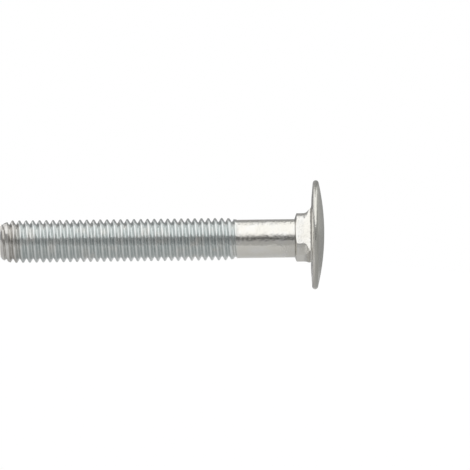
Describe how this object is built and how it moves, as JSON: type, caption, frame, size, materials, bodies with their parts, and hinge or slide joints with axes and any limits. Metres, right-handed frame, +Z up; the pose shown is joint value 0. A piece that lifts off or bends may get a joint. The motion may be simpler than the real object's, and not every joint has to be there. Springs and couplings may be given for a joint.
{
  "type": "carriage bolt",
  "caption": "Carriage bolt: shallow domed head, square neck that flares into it, plain shank and a right-hand rolled thread with a rounded tip.",
  "frame": {"origin": "On the ground, at the middle of the bolt's bounding box as it lies: the rim of the head and the first crests of the thread touch Z = 0.", "axes": "+X along the ground from the tip to the head; +Z up. The bolt's own axis rises 5.73 degrees from the tip to the head, and the head stands 0.6 mm off it, upwards."},
  "size_m": [0.0602, 0.0202, 0.0201],
  "materials": {
    "bright_zinc": "Bright zinc plating on cold-forged steel: a soft satin gloss, lightly scuffed on the crown, with fine drawing marks along the plain shank."
  },
  "bodies": {
    "root": {"bolt": "bright_zinc"}
  },
  "joints": []
}
